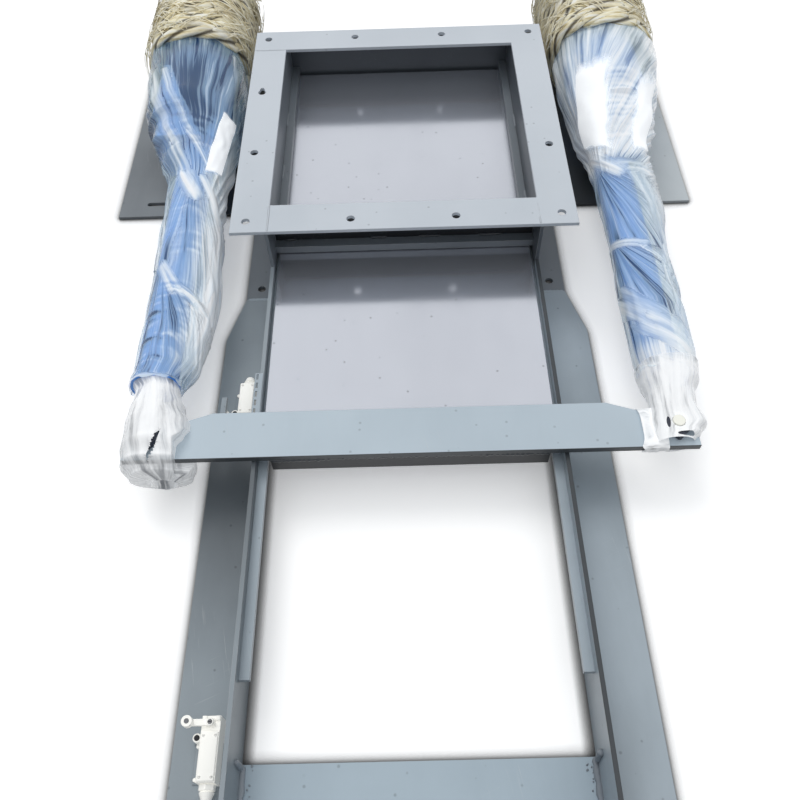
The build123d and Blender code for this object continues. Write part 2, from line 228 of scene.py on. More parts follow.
def make_painted_skin():
    group, given = new_group("painted_skin", [
        ("Paint", "Color", (0.5, 0.5, 0.5, 1)), ("Dull paint", "Color", (0.3, 0.3, 0.3, 1)),
        ("Rub and highlight colour", "Color", (0.6, 0.6, 0.6, 1)), ("Dulling", "Float", 0.5), ("Pits", "Float", 0.5),
        ("Scratches", "Float", 0.5), ("Edge wear and highlight", "Float", 0.5), ("Gloss roughness", "Float", 0.3),
        ("Painted shade towards", "Vector", (0, 0, 1)), ("Painted shade starts", "Float", 1.0), ("Painted shade full", "Float", 2.0),
        ("Painted shade thins", "Float", 10.0), ("Painted shade ends", "Float", 11.0), ("Painted shade", "Float", 0.0),
    ], [("Colour", "Color"), ("Roughness", "Float"), ("Height", "Float"), ("Normal", "Vector")])
    place = object_place(group)

    clouds = window(group, noise_map(group, 4.0, 5.0), 0.35, 0.7)
    streaks = window(group, noise_map(group, 9.0, 6.0, (1, 0.25, 1), 0.62), 0.42, 0.75)
    tone = times(group, sums(group, "MULTIPLY_ADD", clouds, 0.65, times(group, streaks, 0.35)), given["Dulling"])
    colour = mix_colour(group, tone, given["Paint"], given["Dull paint"])

    specks = add_node(group, "ShaderNodeTexVoronoi", {"Vector": place, "Scale": 70.0, "Randomness": 1.0}).outputs
    chosen = add_node(group, "ShaderNodeSeparateColor", {0: specks["Color"]})
    rare = window(group, chosen.outputs[0], 0.84, 0.86)
    dot_size = window(group, specks["Distance"], 0.08, 0.2, 1.0, 0.0)
    pit = times(group, rare, dot_size, given["Pits"])
    colour = mix_colour(group, times(group, pit, 0.55), colour, pit_black)

    along = window(group, noise_map(group, 38.0, 3.0, (14, 0.35, 14), 0.5, 12), 0.64, 0.72)
    across = window(group, noise_map(group, 21.0, 3.0, (0.4, 14, 14), 0.5, 24), 0.68, 0.76)
    patchy = window(group, noise_map(group, 7.0, 2.0), 0.5, 0.62)
    scratch = times(group, sums(group, "MAXIMUM", along, across), patchy, given["Scratches"])
    colour = mix_colour(group, times(group, scratch, 0.5), colour, given["Rub and highlight colour"])

    # Edge wear and painted highlight: every edge is mixed towards the lighter rub colour.
    rounded = add_node(group, "ShaderNodeBevel", {"Radius": 0.0016}, samples=6).outputs[0]
    surface = add_node(group, "ShaderNodeNewGeometry").outputs["Normal"]
    turn = add_node(group, "ShaderNodeVectorMath", {0: rounded, 1: surface}, operation="DOT_PRODUCT")
    edge = window(group, turn.outputs["Value"], 0.8, 0.995, 1.0, 0.0)
    worn_and_lit = times(group, edge, window(group, noise_map(group, 30.0, 4.0), 0.3, 0.6), given["Edge wear and highlight"])
    colour = mix_colour(group, worn_and_lit, colour, given["Rub and highlight colour"])

    # Painted shade: the colour turns near black in a band along one direction, where the part stands in shadow.
    reach = add_node(group, "ShaderNodeVectorMath", {0: place, 1: given["Painted shade towards"]}, operation="DOT_PRODUCT")
    reach = reach.outputs["Value"]
    painted_shade = times(
        group, given["Painted shade"], window(group, reach, given["Painted shade starts"], given["Painted shade full"]),
        window(group, reach, given["Painted shade thins"], given["Painted shade ends"], 1.0, 0.0))
    colour = mix_colour(group, painted_shade, colour, painted_shade_black)

    dimples = sums(group, "SUBTRACT", times(group, noise_map(group, 420.0, 2.0), 0.35), pit)
    dull_rough = sums(group, "MULTIPLY_ADD", tone, 0.16, given["Gloss roughness"])
    add_node(group, "NodeGroupOutput", {
        "Colour": colour, "Roughness": sums(group, "ADD", dull_rough, times(group, scratch, 0.12)),
        "Height": sums(group, "SUBTRACT", dimples, times(group, scratch, 0.4)), "Normal": rounded})
    return group


painted_skin = make_painted_skin()


# The rub colour is that of scratches and worn edges, and also the painted edge highlight.
def painted(name, light, dark, dulling, pits, scratches, edge, rough, metallic=0.0, relief=0.0002,
            rub=(205, 208, 210), painted_shade=(), glow=0.0):
    material, tree, shader = new_material(name)
    amounts = {"Dulling": dulling, "Pits": pits, "Scratches": scratches, "Edge wear and highlight": edge, "Gloss roughness": rough}
    for socket, colour in (("Paint", light), ("Dull paint", dark), ("Rub and highlight colour", rub)):
        amounts[socket] = from_screen(*colour)
    amounts.update(zip(painted_shade_names, painted_shade))
    skin = add_node(tree, "ShaderNodeGroup", amounts, node_tree=painted_skin).outputs
    bump = add_node(tree, "ShaderNodeBump", {
        "Strength": 1.0, "Distance": relief, "Height": skin["Height"], "Normal": skin["Normal"]})
    feed(tree, shader, {
        "Base Color": skin["Colour"], "Roughness": skin["Roughness"], "Normal": bump.outputs[0], "Metallic": metallic})
    # Painted light: where a glow is given, the paint sends out its own colour as if more light fell on it.
    if glow:
        feed(tree, shader, {"Emission Color": skin["Colour"], "Emission Strength": glow})
    return material


# %% [markdown]
# ## The paints of the gate
#
# The flange on top has the cleanest and lightest coat. The rails have been walked on and stacked, so they are more
# worn, and their darker colour is painted shade.
# The blade is the smoothest plate and mirrors the walls around it.
# The actuators are bright blue, their rods and pins are bare steel, and the switches are cream plastic.
# Each paint has its clean and its dulled colour, as seen on a screen, and then its dulling, pits, scratches,
# edge rub, which is also a painted edge highlight, and roughness. Painted shade, where a part stands in shadow,
# is given by its direction, its strength, and how far along it starts and is full.


# %% Paints
# The grey coats are one paint in lit and shaded copies: each part's colour holds the painted light or shade where it
# stands, so the left rail and the left tray are darker than the right ones.
flange_coat = painted("flange_coat", (208, 215, 223), (182, 191, 200), 0.45, 0.5, 0.5, 0.45, 0.3)
# Painted shade: the near wall and the tail plate face away from the overhead light, so their coat is near black.
near_wall_shaded_coat = painted("near_wall_shaded_coat", (30, 34, 39), (22, 25, 29), 0.5, 0.5, 0.4, 0.4, 0.32)
wall_coat = painted("wall_coat", (124, 131, 138), (94, 100, 107), 0.5, 0.5, 0.4, 0.4, 0.32)
# Painted shade: the right wall and the far wall stand in the shade of the flange, so their coat is darker.
shaded_wall_coat = painted("shaded_wall_coat", (88, 94, 101), (62, 67, 73), 0.5, 0.5, 0.4, 0.4, 0.32)
# Painted shade on the left rail, darkest under and beside the crossbar.
left_rail_coat = painted(
    "left_rail_coat", (150, 160, 167), (116, 125, 132), 0.6, 0.8, 0.7, 0.6, 0.34,
    painted_shade=((0, 1, 0), 0.6, -0.98, -0.68, -0.63, -0.60))
right_rail_coat = painted("right_rail_coat", (170, 182, 191), (132, 142, 149), 0.6, 0.7, 0.6, 0.6, 0.34)
# Painted shade along the top of the right rail's upright, with no painted edge highlight.
right_edge_coat = painted(
    "right_edge_coat", (170, 182, 191), (132, 142, 149), 0.6, 0.7, 0.6, 0.0, 0.34,
    painted_shade=((0, 0, 1), 0.9, 0.0890, 0.0896))
# Painted shade on the near face of the crossbar.
crossbar_coat = painted(
    "crossbar_coat", (193, 207, 217), (167, 181, 192), 0.4, 0.5, 0.5, 0.3, 0.32,
    painted_shade=((0, -1, 0), 0.92, 0.6748, 0.6756))
end_coat = painted("end_coat", (174, 190, 201), (148, 163, 174), 0.5, 0.6, 0.5, 0.5, 0.32)
blade_coat = painted("blade_coat", (204, 208, 217), (186, 190, 199), 0.4, 0.6, 0.3, 0.2, 0.13, 0.75, 0.00008)
# Painted shade on the inner ends of both trays, between the flange and the actuators.
tray_coat = painted(
    "tray_coat", (132, 138, 143), (100, 106, 112), 0.7, 0.6, 0.7, 0.5, 0.36, painted_shade=((1, 0, 0), 0.9, -0.43, -0.38))
right_tray_coat = painted(
    "right_tray_coat", (196, 203, 207), (160, 168, 173), 0.6, 0.5, 0.6, 0.5, 0.34,
    painted_shade=((-1, 0, 0), 0.93, -0.43, -0.38))
cradle_coat = painted("cradle_coat", (112, 118, 124), (84, 90, 96), 0.7, 0.6, 0.6, 0.5, 0.36)
# The forks are dark steel, and their near-black colour is also painted shade for the shade round the pins under the
# film.
fork_steel = painted("fork_steel", (58, 62, 76), (36, 40, 52), 0.5, 0.4, 0.6, 0.5, 0.4, rub=(120, 126, 136))
blue_coat = painted("blue_coat", (84, 156, 240), (54, 116, 210), 0.4, 0.3, 0.3, 0.4, 0.28, rub=(150, 180, 215))
rod_steel = painted("rod_steel", (196, 198, 200), (160, 162, 166), 0.3, 0.1, 0.5, 0.2, 0.2, 0.9, 0.00005)
# Painted light: the pins are near white and glow, a painted highlight on bare steel heads; the cream switch cases glow
# too.
pin_steel = painted("pin_steel", (246, 246, 236), (226, 226, 214), 0.3, 0.2, 0.3, 0.2, 0.35, 0.0, 0.0001, glow=0.12)
cream_case = painted(
    "cream_case", (252, 251, 246), (238, 236, 227), 0.4, 0.2, 0.2, 0.3, 0.42, rub=(240, 238, 230), glow=0.16)

coats = {
    "upper_flange": flange_coat, "lower_flange": wall_coat, "blade": blade_coat, "side_wall_left": wall_coat,
    "side_wall_right": shaded_wall_coat, "far_wall": shaded_wall_coat, "near_wall": near_wall_shaded_coat,
    "near_sill": wall_coat, "seal_bars": wall_coat, "ledge_left": right_rail_coat, "ledge_right": right_rail_coat,
    "rail_left": left_rail_coat, "rail_right": right_edge_coat, "end_member": end_coat,
    "crossbar": crossbar_coat, "tail_plate": near_wall_shaded_coat, "trip_dog": left_rail_coat,
    "closed_switch": cream_case, "open_switch": cream_case,
}
for side in ("left", "right"):
    coats[f"tray_{side}"] = tray_coat
    for node in ("gussets", "cradle"):
        coats[f"{node}_{side}"] = cradle_coat
    for node in ("tube", "manifold", "tank", "motor", "fan_cover"):
        coats[f"{node}_{side}"] = blue_coat
    for node in ("rod", "trunnion_pin"):
        coats[f"{node}_{side}"] = rod_steel
    coats[f"pin_{side}"] = pin_steel
    coats[f"fork_{side}"] = fork_steel
    coats[f"straw_{side}"] = cream_case
coats["tray_right"] = right_tray_coat
for node, part in parts.items():
    part.data.materials.clear()
    part.data.materials.append(coats[node])
print("coated", len(coats), "of", len(parts))

# %% [markdown]
# ## Clear film
#
# The actuators left the works wrapped in clear film. Film is a flat sheet that can't stretch round a shape,
# so it gathers in long pleats that run together wherever the film is tied or twisted.
# Each point of a sheet keeps two things as attributes: how white the film is there, which is partly bunched film and
# partly painted highlight, and its place across the pleats. Below nought, the first draws painted shade in the folds
# instead.
# The material draws the pleats as fine lines, a painted highlight on one flank and painted shade on the other, and
# turns bunched film white.
# %% Film material
pleat_names = ("Fine across", "Fine along", "Broad across", "Broad along")
film_white = (0.97, 0.98, 0.99, 1)


def pleat_lines(tree, given, across, along, seed):
    scale = add_node(tree, "ShaderNodeCombineXYZ", {"X": given[across], "Y": given[along]})
    squeeze = add_node(tree, "ShaderNodeVectorMath", {
        0: given["Pleats"], 1: scale.outputs[0], 2: (seed, seed, seed)}, operation="MULTIPLY_ADD")
    return add_node(tree, "ShaderNodeTexNoise", {
        "Vector": squeeze.outputs[0], "Scale": 1.0, "Detail": 3.0, "Roughness": 0.6}).outputs["Fac"]


def make_creased_film():
    group, given = new_group("creased_film", [
        ("Whiteness and highlight", "Float", 0.5), ("Pleats", "Vector", (0, 0, 0)), ("Thin", "Color", (0.6, 0.8, 1, 1)),
        ("Fold shade", "Color", (0.1, 0.2, 0.4, 1)), *((name, "Float", 5.0) for name in pleat_names),
    ], [("Colour", "Color"), ("Cover", "Float"), ("Crackle", "Float"), ("Height", "Float")])
    narrow = pleat_lines(group, given, "Fine across", "Fine along", 3.0)
    wide = pleat_lines(group, given, "Broad across", "Broad along", 9.0)
    streaky = sums(group, "MULTIPLY_ADD", sums(group, "SUBTRACT", narrow, 0.5), 1.1, given["Whiteness and highlight"])
    mixed = sums(group, "MULTIPLY_ADD", sums(group, "SUBTRACT", wide, 0.5), 1.3, streaky)
    cover = window(group, mixed, -0.15, 1.15)
    # Painted highlight along one flank of each pleat; painted shade along the other flank and in folds below nought.
    highlight_line = window(group, narrow, 0.50, 0.68)
    fold_shade_line = times(group, window(group, wide, 0.36, 0.50, 1.0, 0.0), window(group, cover, 0.0, 0.7, 1.0, 0.0))
    fold_shade_line = sums(group, "MAXIMUM", fold_shade_line, window(group, streaky, -0.48, -0.14, 0.96, 0.0))
    seen = sums(group, "MAXIMUM", cover, times(group, highlight_line, 0.45))
    colour = mix_colour(group, seen, given["Thin"], film_white)
    crackle = noise_map(group, 110.0, 3.0)
    add_node(group, "NodeGroupOutput", {
        "Colour": mix_colour(group, fold_shade_line, colour, given["Fold shade"]), "Crackle": crackle,
        "Cover": window(group, sums(group, "MAXIMUM", seen, times(group, fold_shade_line, 0.8)), 0.0, 1.0),
        "Height": sums(group, "MULTIPLY_ADD", narrow, 0.6, sums(group, "MULTIPLY_ADD", crackle, 0.1, wide))})
    return group


creased_film = make_creased_film()


def make_film(name, thin, thick, tint, dark, pleats, waxiness, glow):
    material, tree, shader = new_material(name)
    film = add_node(tree, "ShaderNodeGroup", {
        "Whiteness and highlight": point_value(tree, "fold"), "Pleats": point_value(tree, "rolled", "Vector"), "Thin": tint,
        "Fold shade": dark, **dict(zip(pleat_names, pleats))}, node_tree=creased_film).outputs
    bump = add_node(tree, "ShaderNodeBump", {"Strength": 0.8, "Distance": 0.0018, "Height": film["Height"]})
    # Painted light: the film glows with its own colour, which lifts it towards white.
    feed(tree, shader, {
        "Base Color": film["Colour"], "Normal": bump.outputs[0],
        "Alpha": sums(tree, "MULTIPLY_ADD", film["Cover"], thick - thin, thin),
        "Roughness": window(tree, film["Crackle"], 0.3, 0.8, waxiness * 0.7, waxiness * 1.5),
        "Emission Color": film["Colour"], "Emission Strength": glow})
    return material


# The fifth value of each film is the colour of its painted fold shade.
clear_film = make_film(
    "clear_film", 0.34, 0.93, (0.62, 0.86, 1.0, 1), from_screen(36, 66, 104), (15.0, 5.0, 5.5, 4.0), 0.18, 0.10)
cloudy_film = make_film(
    "cloudy_film", 0.42, 0.98, (0.80, 0.82, 0.84, 1), from_screen(120, 123, 128), (20.0, 1.6, 8.0, 1.0), 0.3, 0.17)


# %% [markdown]
# The actuator inside is three plain shapes: the oil tank, the manifold block and the long tube.
# Film can't pass through them, so each point that would is pushed out to lie just clear.


# %% What the film lies on
axis_height = 0.100
pack_x, pin_x, pin_y = 0.416, 0.389, -0.642
film_gap, film_low = 0.0015, 0.008
tank_start, motor_start, block_start, rim_start = 0.058, 0.316, -0.004, -0.535
tank_reach, motor_reach, tube_reach, rim_reach = 0.0755, 0.0825, 0.0335, 0.0375
block_aside = (-0.064 + 0.050) / 2
block_half_x, block_half_z, block_slant, block_clear = 0.0570, 0.0480, 0.096, 1.03


def clamp(value):
    return min(1.0, max(0.0, value))


def ease(share):
    return share * share * (3 - 2 * share)


def clear_of_core(side, x, y, z):
    if y >= tank_start:
        centre, reach = side * pack_x, tank_reach if y < motor_start else motor_reach
    elif y >= block_start:
        centre = side * (pack_x + block_aside)
        dx, dz = x - centre, z - axis_height
        scale = max(abs(dx) / block_half_x, abs(dz) / block_half_z, (abs(dx) + abs(dz)) / block_slant)
        if 0 < scale < block_clear:
            level = abs(dz) < 1e-6
            return centre + dx * block_clear / scale, z if level else axis_height + dz * block_clear / scale
        return x, z
    else:
        centre, reach = side * pin_x, tube_reach if y > rim_start else rim_reach
    dx, dz = x - centre, z - axis_height
    distance = math.hypot(dx, dz)
    if 0 < distance < reach + film_gap:
        grow = (reach + film_gap) / distance
        return centre + dx * grow, axis_height + dz * grow
    return x, z


def core_at(y):
    share = ease(clamp((y + 0.11) / 0.17))
    return pin_x + (pack_x - pin_x) * share, 0.033 + 0.042 * share


def between(table, y, eased=True):
    for first, second in zip(table, table[1:]):
        if second[0] <= y <= first[0]:
            part = (first[0] - y) / (first[0] - second[0])
            part = ease(part) if eased else part
            return [a + (b - a) * part for a, b in zip(first[1:], second[1:])]
    return list(table[0][1:] if y > table[0][0] else table[-1][1:])


# %% [markdown]
# Each ring of the roll is given by its distance along the actuator, its two sides, its underside and its top,
# and how deep its pleats are.
# They were read from the outline of the wrapping in the picture.
# A few folds are drawn on purpose, as white strokes from one angle and distance to another:
# the long fold off each tank, the gather above the tube, the ties, and the broad band near the rod.
# Their white is partly bunched film and partly painted highlight.


# %% Roll a sheet round an actuator
stroke_radius = 0.055
crescent_bow, crescent_fade, crescent_pitch = 0.030, 0.02, 115.0


def beside_stroke(turn, y, stroke):
    turn_a, y_a, turn_b, y_b, half_width, strength = stroke
    ax, bx, px = math.radians(turn_a) * stroke_radius, math.radians(turn_b) * stroke_radius, turn * stroke_radius
    run_x, run_y = bx - ax, y_b - y_a
    length = math.hypot(run_x, run_y)
    part = ((px - ax) * run_x + (y - y_a) * run_y) / length ** 2
    inside = clamp(part)
    gap = math.hypot(px - ax - inside * run_x, y - y_a - inside * run_y) / half_width
    aside = ((px - ax) * run_y - (y - y_a) * run_x) / length / half_width
    streak = 0.75 + 0.6 * noise.noise((aside * 2.6, part * length * 9.0, turn_a))
    return strength * streak * max(0.0, 1.0 - gap) ** 0.8, (aside * 0.28, part * length, turn_a)


def crescents(turn, y, ripples, seed):
    total = 0.0
    for centre, y_far, y_near, strength in ripples:
        bow = (math.degrees(turn) - centre) / 60
        inside = clamp((y_far - y) / crescent_fade) * clamp((y - y_near) / crescent_fade) * max(0.0, 1 - bow * bow)
        bent = y + crescent_bow * bow * bow
        total += strength * inside * noise.noise((bent * crescent_pitch, turn * 1.1, seed))
    return total


def add_attributes(mesh):
    fold = mesh.attributes.new("fold", "FLOAT", "POINT")
    rolled = mesh.attributes.new("rolled", "FLOAT_VECTOR", "POINT")
    return fold, rolled


def start_piece(name):
    piece = bpy.context.active_object
    piece.name = name
    return piece


def select_only(*pieces):
    bpy.ops.object.select_all(action="DESELECT")
    for piece in pieces:
        piece.select_set(True)
    bpy.context.view_layer.objects.active = pieces[0]


def film_grid(name, around, length):
    bpy.ops.object.select_all(action="DESELECT")
    bpy.ops.mesh.primitive_grid_add(x_subdivisions=around, y_subdivisions=length, size=1.0)
    return start_piece(name)


def finish_film(sheet, film, body):
    sheet.data.update()
    bpy.ops.object.shade_smooth()
    sheet.data.materials.append(film)
    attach(sheet, body)


def on_ring(ring, turn, lift):
    x0, x1, z0, z1 = ring[:4]
    c, s = math.cos(turn), math.sin(turn)
    x = (x0 + x1) / 2 + ((x1 - x0) / 2 + lift) * math.copysign(abs(c) ** 0.9, c)
    z = (z0 + z1) / 2 + ((z1 - z0) / 2 + lift) * math.copysign(abs(s) ** 0.9, s)
    return x, z


def around_rings(mesh, rings, lap):
    far, near = rings[0][0], rings[-1][0]
    for index, vertex in enumerate(mesh.vertices):
        share, down = vertex.co.x + 0.5, 0.5 - vertex.co.y
        y = far + (near - far) * down
        yield index, vertex, share, down, -math.pi / 2 + share * (2 * math.pi + lap), y, between(rings, y)


pleat_depth = 0.0045


def roll_film(name, side, rings, gathers, slant, strokes, ripples, haze, loose, seed):
    sheet = film_grid(name, 200, 290)
    fold, rolled = add_attributes(sheet.data)
    for index, vertex, share, down, turn, y, ring in around_rings(sheet.data, rings, 0.5):
        centre, half = between(gathers, y + slant[0] * (slant[1] - math.degrees(turn)), eased=False)
        across = (math.degrees(turn) - centre) / half
        pleat = 0.5 + 0.9 * noise.noise((across * 3.2, y * 9.0, seed))
        drawn, grain = max(beside_stroke(turn, y, stroke) for stroke in strokes)
        # Ripples across the tube: a small lift of the sheet, and painted light and shade in arcs through the whiteness.
        wave = crescents(turn, y, ripples, seed)
        lift = 0.0012 * share - pleat_depth * ring[4] * (1 - max(min(1.0, pleat), drawn)) + 0.002 * wave
        x, z = on_ring(ring, turn, lift)
        x, z = clear_of_core(side, x, y, z)
        ragged = 0.008 * noise.noise((turn * 2.0, seed, 3.0)) if down in (0, 1) else 0.0
        vertex.co = (x, y + ragged, max(z, film_low))
        core_x, core_reach = core_at(y)
        away = math.hypot(x - side * core_x, z - axis_height) - core_reach
        hanging = clamp((away - 0.007) / 0.026)
        # Haze whitens the film; below nought it is painted shade in the folds.
        haze_here = between(haze, y)[0]
        cover = max(drawn, haze_here, between(loose, y)[0] * hanging)
        fold.data[index].value = cover + min(0.0, haze_here) * max(0.0, 1 - 2.5 * cover) + wave
        rolled.data[index].vector = grain if drawn > 0.3 else (across, y, seed)
    finish_film(sheet, clear_film, "frame")
    return sheet


def declare_sheet(piece):
    area = sum(face.area for face in piece.data.polygons)
    print(piece.name, "area", round(area, 4), "faces", len(piece.data.polygons))


left_rings = [
    (0.290, -0.520, -0.325, 0.014, 0.190, 0.6),
    (0.230, -0.516, -0.314, 0.014, 0.192, 1.0),
    (0.190, -0.512, -0.311, 0.014, 0.194, 1.2),
    (0.100, -0.503, -0.311, 0.014, 0.188, 1.4),
    (0.030, -0.480, -0.311, 0.020, 0.170, 1.6),
    (-0.030, -0.456, -0.316, 0.034, 0.158, 1.4),
    (-0.095, -0.434, -0.322, 0.050, 0.146, 1.0),
    (-0.175, -0.431, -0.320, 0.050, 0.144, 1.2),
    (-0.260, -0.431, -0.314, 0.048, 0.142, 1.4),
    (-0.350, -0.428, -0.309, 0.046, 0.140, 1.4),
    (-0.430, -0.426, -0.312, 0.048, 0.140, 1.3),
    (-0.505, -0.426, -0.324, 0.054, 0.139, 1.0),
    (-0.548, -0.426, -0.346, 0.062, 0.138, 0.4),
]
left_gathers = [
    (0.290, 88, 62), (-0.130, 84, 17), (-0.132, 86, 17), (-0.362, 82, 66), (-0.366, 116, 14), (-0.570, 70, 80),
]
left_strokes = [
    (138, 0.17, 118, -0.02, 0.020, 0.75), (118, -0.02, 98, -0.12, 0.022, 0.80), (116, 0.16, 91, -0.005, 0.009, 0.75),
    (91, -0.005, 43, -0.135, 0.011, 0.80), (102, -0.105, 80, -0.155, 0.024, 1.0), (62, -0.12, 16, -0.215, 0.030, 0.85),
    (16, -0.215, 20, -0.38, 0.032, 0.85), (20, -0.38, 28, -0.525, 0.030, 0.85), (120, -0.320, 94, -0.372, 0.018, 0.95),
    (94, -0.37, 19, -0.43, 0.014, 0.85), (31, 0.225, 24, 0.04, 0.022, 0.45),
    (88, -0.15, 108, -0.33, 0.014, 0.50), (60, -0.06, 20, -0.12, 0.030, 0.45), (24, 0.04, 20, -0.12, 0.030, 0.60),
    (146, -0.13, 140, -0.31, 0.012, 0.60), (60, -0.40, 40, -0.50, 0.020, 0.55), (175, -0.547, 15, -0.547, 0.010, 0.75),
]
left_ripples = [(108, -0.350, -0.54, 0.85), (95, -0.16, -0.31, 0.25), (88, 0.05, -0.05, 0.3)]
left_haze = [
    (0.290, 0.40), (0.264, 0.10), (0.240, -0.36), (0.130, -0.50), (0.050, -0.42), (-0.060, -0.24), (-0.120, 0.08),
    (-0.330, 0.12), (-0.360, -0.04), (-0.550, -0.06),
]
left_loose = [(0.290, 0.20), (0.220, 0.05), (0.060, 0.20), (-0.060, 0.85), (-0.550, 0.85)]
right_rings = [
    (0.290, 0.322, 0.530, 0.014, 0.190, 0.6),
    (0.250, 0.320, 0.530, 0.014, 0.193, 1.0),
    (0.200, 0.320, 0.524, 0.014, 0.194, 1.0),
    (0.120, 0.324, 0.510, 0.014, 0.190, 1.2),
    (0.030, 0.334, 0.490, 0.020, 0.170, 1.5),
    (-0.060, 0.348, 0.462, 0.048, 0.150, 1.2),
    (-0.115, 0.352, 0.462, 0.052, 0.146, 1.0),
    (-0.190, 0.352, 0.462, 0.050, 0.144, 1.2),
    (-0.280, 0.354, 0.450, 0.056, 0.139, 0.6),
    (-0.310, 0.354, 0.447, 0.056, 0.139, 0.4),
    (-0.360, 0.350, 0.448, 0.054, 0.142, 1.1),
    (-0.440, 0.349, 0.447, 0.054, 0.143, 0.8),
    (-0.510, 0.350, 0.446, 0.056, 0.143, 0.7),
    (-0.549, 0.354, 0.438, 0.060, 0.140, 0.4),
]
right_gathers = [
    (0.290, 96, 62), (-0.105, 150, 12), (-0.107, 154, 10), (-0.279, 96, 78), (-0.283, 158, 9), (-0.400, 104, 66),
    (-0.570, 96, 80),
]
right_strokes = [
    (158, -0.070, 112, -0.125, 0.026, 0.85), (112, -0.11, 60, -0.12, 0.030, 0.75), (84, -0.12, 40, -0.30, 0.034, 0.62),
    (40, -0.30, 30, -0.46, 0.034, 0.60), (170, -0.280, 92, -0.306, 0.013, 1.05), (100, -0.308, 66, -0.34, 0.012, 0.60),
    (168, -0.412, 112, -0.466, 0.048, 0.95), (112, -0.466, 44, -0.522, 0.044, 0.95),
    (172, -0.12, 172, -0.28, 0.014, 0.45), (60, -0.33, 46, -0.47, 0.020, 0.55),
]
right_ripples = [(100, 0.12, -0.06, 0.35)]
right_haze = [
    (0.290, 0.50), (0.160, 0.50), (0.060, 0.72), (-0.070, 0.82), (-0.105, 0.35), (-0.130, 0.12), (-0.480, 0.12),
    (-0.530, 0.75), (-0.560, 0.85),
]
right_loose = [(0.290, 0.8), (-0.550, 0.8)]
film_left = roll_film(
    "film_left", -1, left_rings, left_gathers, (0.0008, 94), left_strokes, left_ripples, left_haze, left_loose, 3.0)
film_right = roll_film(
    "film_right", 1, right_rings, right_gathers, (0.00033, 170), right_strokes, right_ripples, right_haze,
    right_loose, 8.0)
for film, side in ((film_left, "left"), (film_right, "right")):
    declare_sheet(film)

# %% [markdown]
# The rod ends are wrapped on their own, in the same film crushed by hand, so it is cloudy and full of small creases.
# These wraps move away with the crossbar. The left one stops where it meets the bar and hangs below it,
# with a slit torn open on top. On the right the head of the pin pokes out.


# %% Wraps on the rod ends
def crushed(spot, seed):
    ridge = noise.ridged_multi_fractal(spot * 0.9 + Vector((seed, 0, 0)), 1.0, 2.1, 3, 1.0, 1.8)
    return clamp(ridge * 0.5)


def crush_film(name, rings, seed, length, depth, bar_edge=None, shade_below=None, pin=None):
    sheet = film_grid(name, 170, length)
    fold, rolled = add_attributes(sheet.data)
    for index, vertex, share, down, turn, y, ring in around_rings(sheet.data, rings, 0.3):
        spot = Vector((math.cos(turn) * 1.1, math.sin(turn) * 1.1, y * 16.0))
        ridge = crushed(spot, seed)
        crumple = 0.9 * noise.noise(spot * 0.8 + Vector((0, seed, 0))) + 0.6 * ridge - 0.5
        lift = 0.001 * share + ring[4] * depth * crumple
        x, z = on_ring(ring, turn, lift)
        if bar_edge and z > 0.094:
            x = min(x, between(bar_edge, y)[0] - 0.05 * max(0.0, 0.106 - z))
        if pin and z > 0.1:
            near_pin = math.hypot(x - pin[0], y - pin[1])
            z = min(z, 0.1196 + 0.25 * max(0.0, near_pin - 0.016))
        vertex.co = (x, y, z)
        # Painted highlight: the film is whiter along the ridges of its creases.
        whiteness = (0.52 + 0.5 * ridge) * min(1.0, 0.25 + 7.0 * down)
        # Painted shade: below a given line the film turns greyer and clearer, on the underside of the bag.
        if shade_below:
            whiteness -= 0.55 * clamp((between(shade_below, y)[0] - z) / 0.03)
        fold.data[index].value = whiteness
        rolled.data[index].vector = (share * 2.2, y * 8.0, seed)
    finish_film(sheet, cloudy_film, "gate")
    return sheet


left_bag_rings = [
    (-0.546, -0.421, -0.351, 0.064, 0.136, 0.3),
    (-0.560, -0.415, -0.347, 0.062, 0.137, 0.8),
    (-0.590, -0.421, -0.336, 0.056, 0.140, 1.0),
    (-0.620, -0.425, -0.324, 0.050, 0.142, 1.0),
    (-0.650, -0.427, -0.318, 0.046, 0.138, 1.0),
    (-0.676, -0.425, -0.312, 0.044, 0.126, 0.8),
    (-0.692, -0.412, -0.318, 0.048, 0.108, 0.8),
    (-0.700, -0.378, -0.340, 0.060, 0.088, 0.3),
]
left_bar_edge = [(-0.595, -0.305), (-0.620, -0.318), (-0.640, -0.331), (-0.655, -0.340), (-0.690, -0.340)]
left_bag_shade = [(-0.630, 0.02), (-0.660, 0.100), (-0.685, 0.135), (-0.705, 0.15)]
right_neck_rings = [
    (-0.536, 0.350, 0.444, 0.056, 0.143, 0.4),
    (-0.560, 0.352, 0.440, 0.058, 0.141, 0.8),
    (-0.590, 0.357, 0.428, 0.064, 0.134, 1.0),
    (-0.612, 0.357, 0.426, 0.068, 0.131, 1.0),
    (-0.640, 0.354, 0.436, 0.074, 0.128, 0.8),
    (-0.655, 0.354, 0.424, 0.078, 0.125, 0.6),
    (-0.670, 0.356, 0.410, 0.080, 0.122, 0.4),
]
bag_left = crush_film("rod_wrap_left", left_bag_rings, 5.0, 150, 0.007, left_bar_edge, left_bag_shade)
neck_right = crush_film("rod_wrap_right", right_neck_rings, 12.0, 130, 0.005, pin=(pin_x, pin_y))


def hole_distance(spot, hole):
    x, y, half_x, half_y, lean = hole
    across = (spot.x - x - lean * (spot.y - y)) / half_x
    along = (spot.y - y) / half_y
    return across, along, math.hypot(across, along)


